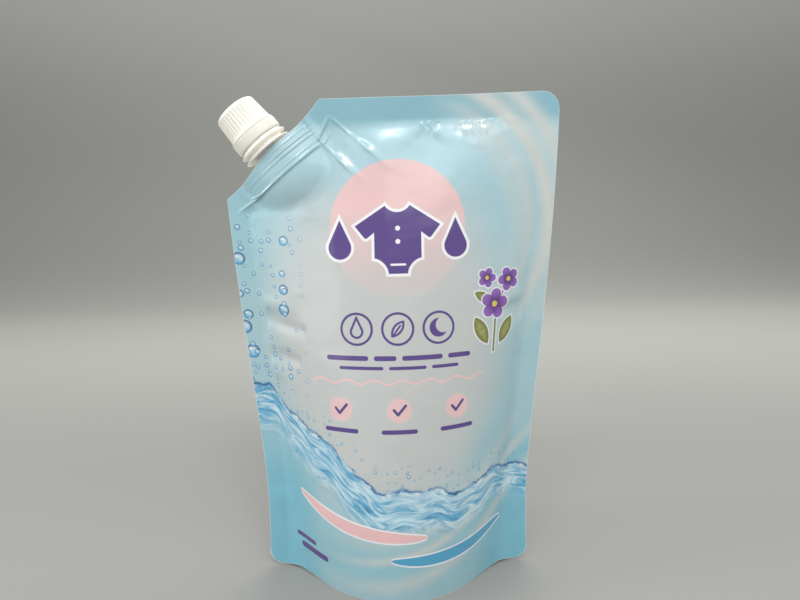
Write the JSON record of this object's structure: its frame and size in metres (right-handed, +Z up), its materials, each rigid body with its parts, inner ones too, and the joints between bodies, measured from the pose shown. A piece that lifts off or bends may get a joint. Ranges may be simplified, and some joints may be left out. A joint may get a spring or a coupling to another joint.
{
  "type": "laundry detergent stand-up pouch",
  "caption": "Filled stand-up pouch of liquid laundry detergent with a base gusset and a screw-capped spout set in its cut top corner.",
  "frame": {"origin": "on the floor, at the middle of the base that the opened gusset rests on", "axes": "+Z up along the pouch's height, +X across the pouch away from the spout's corner, +Y from the printed front to the plain back"},
  "size_m": [0.1807, 0.0782, 0.276],
  "materials": {
    "printed_film": "glossy laminated film, printed pale blue",
    "white_plastic": "moulded, satin, warm white"
  },
  "bodies": {
    "pouch_body": {"pouch": "printed_film", "spout": "white_plastic"},
    "band_body": {"tamper_band": "white_plastic"},
    "cap_body": {"cap": "white_plastic"}
  },
  "joints": [
    {"name": "cap_turn", "type": "hinge", "parent": "pouch_body", "child": "band_body", "pos_m": [-0.06449, 0, 0.24726], "axis": [-0.6287, 0, 0.7776], "range_deg": [0, 720]},
    {"name": "cap_lift", "type": "slide", "parent": "band_body", "child": "cap_body", "axis": [-0.6287, 0, 0.7776], "range_m": [0, 0.01121]}
  ],
  "couplings": [
    {"joint": "cap_lift", "follows": "cap_turn", "m_per_rad": 0.00089127}
  ]
}
